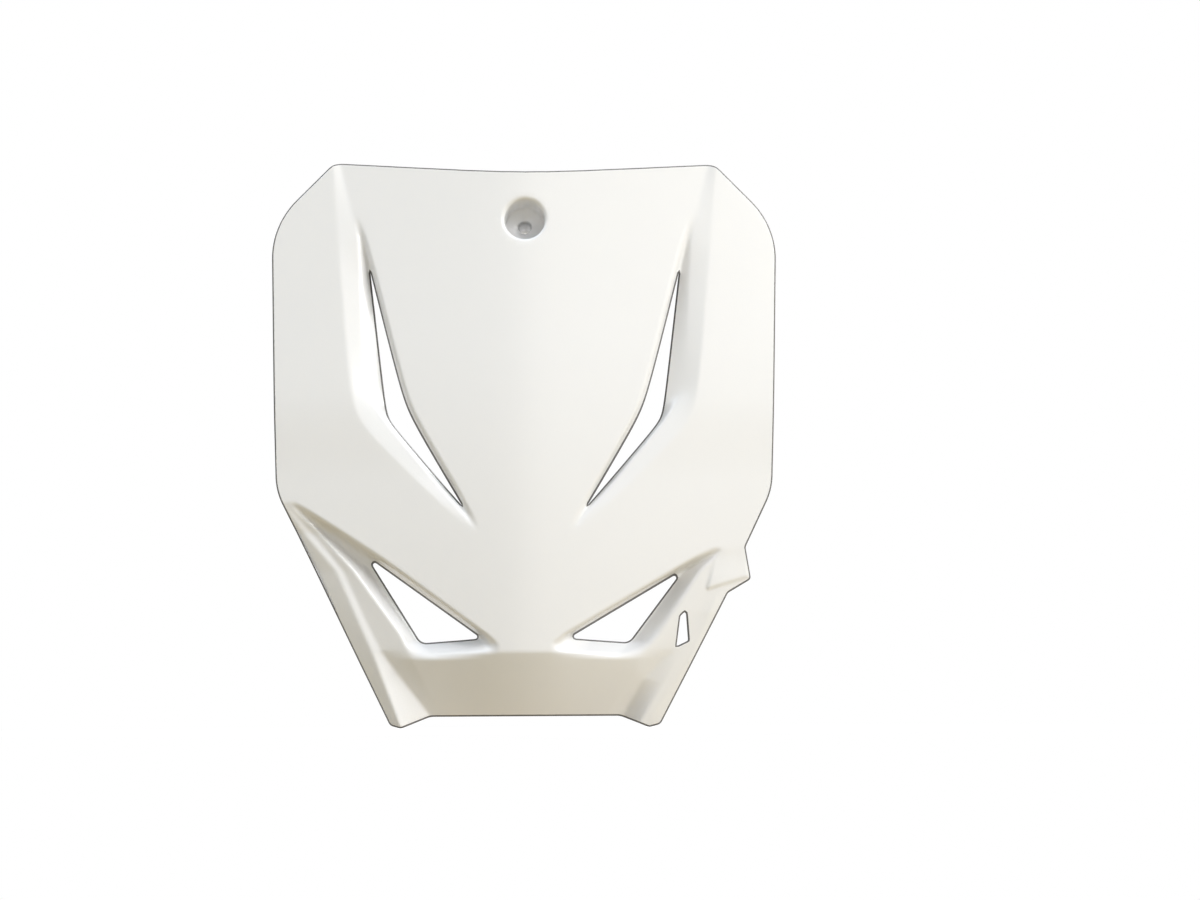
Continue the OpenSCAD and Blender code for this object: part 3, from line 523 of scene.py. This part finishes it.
# Mesh
def crossings_inside(points, loops):
    """Which points lie in the material: inside an odd number of loops."""
    a = np.vstack(loops)
    b = np.vstack([np.roll(loop, -1, axis=0) for loop in loops])
    inside = np.zeros(len(points), bool)
    for start in range(0, len(points), BATCH):
        batch = slice(start, start + BATCH)
        x, z = points[batch, 0][:, None], points[batch, 1][:, None]
        spans = (a[:, 1] > z) != (b[:, 1] > z)
        with np.errstate(divide="ignore", invalid="ignore"):
            cross = a[:, 0] + (z - a[:, 1]) * (b[:, 0] - a[:, 0]) / (b[:, 1] - a[:, 1])
        inside[batch] = np.sum(spans & (x < cross), axis=1) % 2 == 1
    return inside


def curvature(field, axis):
    return np.abs(np.gradient(np.gradient(field, CELL, axis=axis), CELL, axis=axis))


def lattice(field, step):
    """Points over the whole field, closest where it bends most."""
    bend = blurred(curvature(field, 0) + curvature(field, 1), BEND_SPREAD)
    xs = np.arange(GRID_X[0] + LATTICE_INSET, GRID_X[-1] - LATTICE_INSET, step)
    zs = np.arange(GRID_Z[0] + LATTICE_INSET, GRID_Z[-1] - LATTICE_INSET, step)
    i, k = np.meshgrid(np.arange(len(xs)), np.arange(len(zs)))
    i, k = i.ravel(), k.ravel()
    points = np.stack([xs[i], zs[k]], 1)
    level = sampled(bend, points)
    every_second = (i % 2 == 0) & (k % 2 == 0)
    every_fourth = (i % 4 == 0) & (k % 4 == 0)
    return points[(level > SHARP_BEND) | ((level > SLIGHT_BEND) & every_second) | every_fourth]


def loop_edges(loops):
    """The edges round each of some loops whose points are numbered on from one to the next."""
    edges, start = [], 0
    for loop in loops:
        count = len(loop)
        edges += [(start + n, start + (n + 1) % count) for n in range(count)]
        start += count
    return edges


def surface(field, loops, guards, step):
    """Points and triangles of a field inside its loops. The loops' points come first, in order.

    The guards are points close inside the loops, which keep the triangles beside the rims small.
    """
    edge_points, near = np.vstack(loops), np.vstack(guards)
    fixed = np.vstack([edge_points, near[crossings_inside(near, loops)]])
    tree = KDTree(len(fixed))
    for n, (x, z) in enumerate(fixed):
        tree.insert((x, z, 0), n)
    tree.balance()
    inner = lattice(field, step)
    inner = inner[crossings_inside(inner, loops)]
    clear = [tree.find((x, z, 0))[2] > RIM_CLEARANCE for x, z in inner]
    points = np.vstack([fixed, inner[np.array(clear)]])
    made = delaunay_2d_cdt([Vector(p) for p in points], loop_edges(loops), [], 0, WELD, False)
    triangles = np.array([f for f in made[2] if len(f) == 3])
    middle = points[triangles].mean(axis=1)
    doubtful = np.all(triangles < len(edge_points), axis=1)
    keep = np.ones(len(triangles), bool)
    keep[doubtful] = crossings_inside(middle[doubtful], loops)
    return points, triangles[keep]


class Shell:
    """Collects the points and faces of the shell, with the material of each face."""

    def __init__(self):
        self.points, self.faces, self.materials = [], [], []

    def add_points(self, xz, y):
        start = len(self.points)
        self.points += [(x, d, z) for (x, z), d in zip(xz, np.broadcast_to(y, len(xz)))]
        return start

    def add_surface(self, xz, y, triangles, material):
        start = self.add_points(xz, y)
        order = triangles[:, ::-1] if material == BACK else triangles
        self.faces += (order + start).tolist()
        self.materials += [material] * len(order)
        return start

    def join_rings(self, rings, count, material):
        """Strips between rings of the same count of points, given by their first index."""
        for a, b in zip(rings, rings[1:]):
            for n in range(count):
                m = (n + 1) % count
                self.faces.append((a + n, b + n, b + m, a + m))
                self.materials.append(material)


def rim_rings(shell, loop, front, back, front_start, back_start):
    """The rounded rim of one loop, from the front surface round to the back."""
    way = outward(loop)
    rings = [front_start]
    for angle in np.radians([30, 60, 90]):
        at = loop - way * FRONT_EDGE_R * (1 - math.sin(angle))
        rings.append(shell.add_points(at, sampled(front, at) + FRONT_EDGE_R * (1 - math.cos(angle))))
    for angle in np.radians([90, 45]):
        at = loop - way * BACK_EDGE_R * (1 - math.sin(angle))
        rings.append(shell.add_points(at, sampled(back, at) - BACK_EDGE_R * (1 - math.cos(angle))))
    rings.append(back_start)
    # The rim strips take the rim material, painted dark grey as shade along the edge.
    shell.join_rings(rings, len(loop), RIM)


def cup_profile():
    """Radius and y of the cup behind its lip: bore, floor, bolt hole, post and the boss round the cup.

    The places between two edges only part the long walls into shorter strips.
    """
    bore, boss, bolt, post = CUP_BORE / 2, CUP_BORE / 2 + CUP_WALL, BOLT_HOLE / 2, POST_D / 2
    post_end = CUP_FLOOR + POST_L
    profile = [(bore, -10), (bore, -5)]
    profile += [(bore - FLOOR_EDGE_R * (1 - math.cos(t)), -FLOOR_EDGE_R * (1 - math.sin(t)))
                for t in np.radians([0, 30, 60, 90])]
    profile += [(bolt + HOLE_EDGE, 0), (bolt, HOLE_EDGE), (bolt, 8), (bolt, 16),
                (bolt, post_end - HOLE_END_EDGE), (bolt + HOLE_END_EDGE, post_end),
                (post - POST_EDGE, post_end), (post - 0.15, post_end - 0.15),
                (post, post_end - POST_EDGE), (post, CUP_FLOOR + 10), (post, CUP_FLOOR + 1),
                (post + POST_FOOT, CUP_FLOOR + POST_FOOT), (post + 1, CUP_FLOOR)]
    profile += [(boss - BOSS_EDGE_R * (1 - math.cos(t)), CUP_FLOOR - BOSS_EDGE_R * (1 - math.sin(t)))
                for t in np.radians([90, 45, 0])]
    return profile


def cup_rings(shell, front, back, front_start, back_start):
    """The cup from the lip in the face, down its bore, through the bolt hole and up round its boss."""
    bore, boss = CUP_BORE / 2, CUP_BORE / 2 + CUP_WALL
    turn = circle(1)[::-1]
    rings = [front_start]
    for angle in np.radians([22, 45, 68, 90]):
        at = turn * (bore + CUP_LIP_R * (1 - math.sin(angle)))
        rings.append(shell.add_points(at, sampled(front, at) + CUP_LIP_R * (1 - math.cos(angle))))
    for radius, y in cup_profile():
        rings.append(shell.add_points(turn * radius, y))
    for angle in np.radians([90, 45]):
        at = turn * (boss + BOSS_FOOT_R * (1 - math.sin(angle)))
        rings.append(shell.add_points(at, sampled(back, at) + BOSS_FOOT_R * (1 - math.cos(angle))))
    rings.append(back_start)
    shell.join_rings(rings, len(turn), FACE)


def shell_fields():
    """The front and the back of the shell. The pad on the tab stands out of the front only."""
    front = blurred(face_field(), FILLET)
    back = blurred(spread_behind(front, WALL), BACK_FILLET)
    x, z = np.meshgrid(GRID_X, GRID_Z)
    return front - blurred(pad_field(x, z), PAD_FILLET), back


def rim_loops():
    """The outlines of the board and of its openings, each with the material on its left."""
    loops = [board_outline()] + [slot_outline(s) for s in (-1, 1)] + [eye_outline(s) for s in (-1, 1)]
    loops.append(slit_outline())
    loops = [resampled(loop, EDGE_STEP) for loop in loops]
    return [loop if (area(loop) > 0) == (n == 0) else loop[::-1] for n, loop in enumerate(loops)]


def add_skin(shell, field, loops, edge_r, cup_radius, step, material):
    """One side of the shell, which stops short of the rims and of the cup by their rounding."""
    edges = [loop - outward(loop) * edge_r for loop in loops]
    guards = [edge - outward(edge) * GUARD for edge in edges]
    edges.append(circle(cup_radius)[::-1])
    points, triangles = surface(field, edges, guards, step)
    return shell.add_surface(points, sampled(field, points), triangles, material)


def board_mesh():
    front, back = shell_fields()
    loops = rim_loops()
    lip_radius = CUP_BORE / 2 + CUP_LIP_R
    foot_radius = CUP_BORE / 2 + CUP_WALL + BOSS_FOOT_R
    shell = Shell()
    front_start = add_skin(shell, front, loops, FRONT_EDGE_R, lip_radius, FINE, FACE)
    back_start = add_skin(shell, back, loops, BACK_EDGE_R, foot_radius, BACK_FINE, BACK)
    for loop in loops:
        rim_rings(shell, loop, front, back, front_start, back_start)
        front_start += len(loop)
        back_start += len(loop)
    cup_rings(shell, front, back, front_start, back_start)

    mesh = bpy.data.meshes.new("number_board_shell")
    places = [(x / MM_PER_METRE, y / MM_PER_METRE, z / MM_PER_METRE) for x, y, z in shell.points]
    mesh.from_pydata(places, [], shell.faces)
    mesh.polygons.foreach_set("material_index", shell.materials)
    mesh.polygons.foreach_set("use_smooth", [True] * len(mesh.polygons))
    mesh.validate()
    mesh.update()
    return mesh


# Materials
PLASTICS = [    # name, colour, roughness and grain, in the order of FACE, BACK and RIM
    ("white_gloss", (0.84, 0.84, 0.845), 0.2, 0.2),
    ("white_satin", (0.82, 0.82, 0.82), 0.45, 0.5),
    # The rim's dark grey is painted shade: it stands in for the shade along the edges of the board and of
    # every opening.
    ("painted_shade_rim", (0.14, 0.135, 0.135), 0.6, 0.6)]
PLASTIC_IOR, CLOUD_SHADE, GLOSS_SPREAD, GRAIN_HEIGHT = 1.49, 0.975, (-0.03, 0.05), 0.0001
CLOUDS, SCUFFS, GRAINS = (18, 3), (260, 5), (1400, 2)    # scale and detail of each noise
PAPER_COLOUR, PAPER_LIFT, PAPER_ROUGHNESS = (0.8, 0.8, 0.8), 0.6, 0.9
FLOOR_BOUNCE, FLOOR_FADE = (0.44, 0.35, 0.19), (0.15, 0.4)    # the fade in metres from the origin
MIX_A, MIX_B, MIX_RESULT = 6, 7, 2    # the colour sockets of a mix node


def node(tree, kind, **values):
    made = tree.nodes.new(kind)
    for name, value in values.items():
        setattr(made, name, value)
    return made


def combined(tree, kind, operation, first, second):
    """The result of one operation on two outputs."""
    made = node(tree, kind, operation=operation)
    tree.links.new(first, made.inputs[0])
    tree.links.new(second, made.inputs[1])
    return made.outputs[0]


def noise(tree, place, scale, detail):
    made = node(tree, "ShaderNodeTexNoise")
    made.inputs["Scale"].default_value = scale
    made.inputs["Detail"].default_value = detail
    tree.links.new(place.outputs["Object"], made.inputs["Vector"])
    return made.outputs["Fac"]


def moulded_plastic(name, colour, roughness, grain):
    """Moulded plastic: faint clouding, a slightly uneven gloss and a fine surface grain."""
    material = bpy.data.materials.new(name)
    material.use_nodes = True
    tree = material.node_tree
    shader = tree.nodes["Principled BSDF"]
    shader.inputs["IOR"].default_value = PLASTIC_IOR
    place = node(tree, "ShaderNodeTexCoord")

    tint = node(tree, "ShaderNodeValToRGB")
    tint.color_ramp.elements[0].color = (*[c * CLOUD_SHADE for c in colour], 1)
    tint.color_ramp.elements[1].color = (*colour, 1)
    tree.links.new(noise(tree, place, *CLOUDS), tint.inputs["Fac"])
    tree.links.new(tint.outputs["Color"], shader.inputs["Base Color"])

    gloss = node(tree, "ShaderNodeMapRange")
    gloss.inputs["To Min"].default_value = roughness + GLOSS_SPREAD[0]
    gloss.inputs["To Max"].default_value = roughness + GLOSS_SPREAD[1]
    tree.links.new(noise(tree, place, *SCUFFS), gloss.inputs["Value"])
    tree.links.new(gloss.outputs["Result"], shader.inputs["Roughness"])

    bump = node(tree, "ShaderNodeBump")
    bump.inputs["Strength"].default_value = grain
    bump.inputs["Distance"].default_value = GRAIN_HEIGHT
    tree.links.new(noise(tree, place, *GRAINS), bump.inputs["Height"])
    tree.links.new(bump.outputs["Normal"], shader.inputs["Normal"])
    return material


def background_rays(tree):
    """1 for rays that should see the white background, 0 for those that light the board."""
    path = node(tree, "ShaderNodeLightPath")
    seen = path.outputs["Is Camera Ray"]
    for kind in ("Is Glossy Ray", "Is Transmission Ray"):
        seen = combined(tree, "ShaderNodeMath", "MAXIMUM", seen, path.outputs[kind])
    return seen


def direction_ramp(tree, lobes):
    """The colour of the room in each direction: a sum of soft lobes (direction, colour, sharpness)."""
    place = node(tree, "ShaderNodeTexCoord")
    total = None
    for way, colour, sharpness in lobes:
        facing = node(tree, "ShaderNodeVectorMath", operation="DOT_PRODUCT")
        facing.inputs[1].default_value = Vector(way).normalized()
        tree.links.new(place.outputs["Generated"], facing.inputs[0])
        share = node(tree, "ShaderNodeMapRange")
        share.inputs["From Min"].default_value = -1
        tree.links.new(facing.outputs["Value"], share.inputs["Value"])
        lobe = node(tree, "ShaderNodeMath", operation="POWER")
        lobe.inputs[1].default_value = sharpness
        tree.links.new(share.outputs["Result"], lobe.inputs[0])
        tint = node(tree, "ShaderNodeVectorMath", operation="SCALE")
        tint.inputs[0].default_value = colour
        tree.links.new(lobe.outputs[0], tint.inputs["Scale"])
        if total is None:
            total = tint.outputs[0]
        else:
            total = combined(tree, "ShaderNodeVectorMath", "ADD", total, tint.outputs[0])
    return total


def far_share(tree):
    """0 on the paper near the board and 1 far from it."""
    place = node(tree, "ShaderNodeTexCoord")
    far = node(tree, "ShaderNodeVectorMath", operation="LENGTH")
    tree.links.new(place.outputs["Object"], far.inputs[0])
    fade = node(tree, "ShaderNodeMapRange", interpolation_type="SMOOTHSTEP")
    fade.inputs["From Min"].default_value = FLOOR_FADE[0]
    fade.inputs["From Max"].default_value = FLOOR_FADE[1]
    tree.links.new(far.outputs["Value"], fade.inputs["Value"])
    return fade.outputs["Result"]


def paper_floor():
    """Paper that the eye sees as white with the board's shadow, and that throws back a warm light."""
    material = bpy.data.materials.new("paper")
    material.use_nodes = True
    tree = material.node_tree
    paper = tree.nodes["Principled BSDF"]
    paper.inputs["Roughness"].default_value = PAPER_ROUGHNESS
    paper.inputs["Emission Color"].default_value = (1, 1, 1, 1)
    seen = background_rays(tree)
    colour = node(tree, "ShaderNodeMix", data_type="RGBA")
    colour.inputs[MIX_A].default_value = (*FLOOR_BOUNCE, 1)
    colour.inputs[MIX_B].default_value = (*PAPER_COLOUR, 1)
    tree.links.new(seen, colour.inputs[0])
    tree.links.new(colour.outputs[MIX_RESULT], paper.inputs["Base Color"])
    lift = node(tree, "ShaderNodeMath", operation="MULTIPLY")
    lift.inputs[1].default_value = PAPER_LIFT
    tree.links.new(seen, lift.inputs[0])
    tree.links.new(lift.outputs[0], paper.inputs["Emission Strength"])

    share = combined(tree, "ShaderNodeMath", "MULTIPLY", far_share(tree), seen)
    white = node(tree, "ShaderNodeEmission")
    mix = node(tree, "ShaderNodeMixShader")
    tree.links.new(share, mix.inputs[0])
    tree.links.new(paper.outputs[0], mix.inputs[1])
    tree.links.new(white.outputs[0], mix.inputs[2])
    tree.links.new(mix.outputs[0], tree.nodes["Material Output"].inputs["Surface"])
    return material


# Objects
def placed(name, data):
    """A new object, linked into the scene."""
    made = bpy.data.objects.new(name, data)
    bpy.context.scene.collection.objects.link(made)
    return made


# The piece
shell_mesh = board_mesh()
for plastic in PLASTICS:
    shell_mesh.materials.append(moulded_plastic(*plastic))
board = placed("number_board_shell", shell_mesh)
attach(board, "root")
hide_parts("number_board")

# Floor, in metres from here on
FLOOR_HALF, FLOOR_GAP = 6, 0.0005
FLOOR_Z = (TIP_Z - TOE_EXTRA) / MM_PER_METRE - FLOOR_GAP


def floor_mesh():
    made = bpy.data.meshes.new("floor")
    corners = [(x * FLOOR_HALF, y * FLOOR_HALF, FLOOR_Z) for x, y in ((-1, -1), (1, -1), (1, 1), (-1, 1))]
    made.from_pydata(corners, [], [(0, 1, 2, 3)])
    made.materials.append(paper_floor())
    return made


floor = placed("floor", floor_mesh())

# Light
MIDDLE = (0, 0, -0.11)
LAMPS = [    # name, place, side of the square, power and colour
    ("key", (4.05, -3.62, 2.80), 3.2, 358, (1, 1, 0.99)),
    ("window", (-2.4, -1.1, 2.2), 1.8, 34, (0.82, 0.91, 1)),
    ("back", (1.2, 2.8, 1.6), 2.0, 75, (0.98, 0.99, 1))]
ROOM = [    # direction, colour and sharpness
    ((0, -1, 0.25), (0.27, 0.28, 0.31), 2.5),
    ((0, -0.3, 1), (0.36, 0.43, 0.52), 3.0)]


def area_light(name, place, side, power, colour):
    """A square lamp that shines on the middle of the board."""
    lamp = bpy.data.lights.new(name, "AREA")
    lamp.shape, lamp.size, lamp.size_y = "RECTANGLE", side, side
    lamp.energy, lamp.color = power, colour
    made = placed(name, lamp)
    made.location = place
    made.rotation_euler = (Vector(MIDDLE) - Vector(place)).to_track_quat("-Z", "Y").to_euler()


def studio_world():
    """A room that is brightest in front and above, with a plain white background."""
    world = bpy.data.worlds.new("studio")
    bpy.context.scene.world = world
    world.use_nodes = True
    tree = world.node_tree
    tree.nodes.clear()
    light = node(tree, "ShaderNodeBackground")
    tree.links.new(direction_ramp(tree, ROOM), light.inputs["Color"])
    white = node(tree, "ShaderNodeBackground")
    white.inputs["Color"].default_value = (1, 1, 1, 1)
    mix = node(tree, "ShaderNodeMixShader")
    out = node(tree, "ShaderNodeOutputWorld")
    tree.links.new(background_rays(tree), mix.inputs[0])
    tree.links.new(light.outputs[0], mix.inputs[1])
    tree.links.new(white.outputs[0], mix.inputs[2])
    tree.links.new(mix.outputs[0], out.inputs["Surface"])


for lamp_row in LAMPS:
    area_light(*lamp_row)
studio_world()
bpy.context.scene.view_settings.view_transform = "Standard"

# The camera looks slightly upwards at the face, from below its middle
CAMERA_PLACE = (0.0092, -0.8641, -0.2355)
CAMERA_TURN = (8.331, -0.351, -1.754)    # pitch, roll and yaw in degrees
SENSOR_WIDTH, CLIP_START = 36, 0.01
FOCAL_SHARE = 1837.0 / 1200              # focal length by the width of the picture


def photo_camera():
    pitch, roll, yaw = [math.radians(a) for a in CAMERA_TURN]
    ahead = Vector((-math.sin(yaw) * math.cos(pitch), math.cos(yaw) * math.cos(pitch), math.sin(pitch)))
    level = Vector((math.cos(yaw), math.sin(yaw), 0))
    upright = level.cross(ahead)
    right = level * math.cos(roll) + upright * math.sin(roll)
    up = upright * math.cos(roll) - level * math.sin(roll)
    data = bpy.data.cameras.new("photo")
    data.sensor_width = SENSOR_WIDTH
    data.lens = FOCAL_SHARE * SENSOR_WIDTH
    data.clip_start = CLIP_START
    made = placed("photo", data)
    turn = Matrix((right, up, -ahead)).transposed()
    made.matrix_world = Matrix.Translation(CAMERA_PLACE) @ turn.to_4x4()
    bpy.context.scene.camera = made


photo_camera()

bpy.context.view_layer.update()
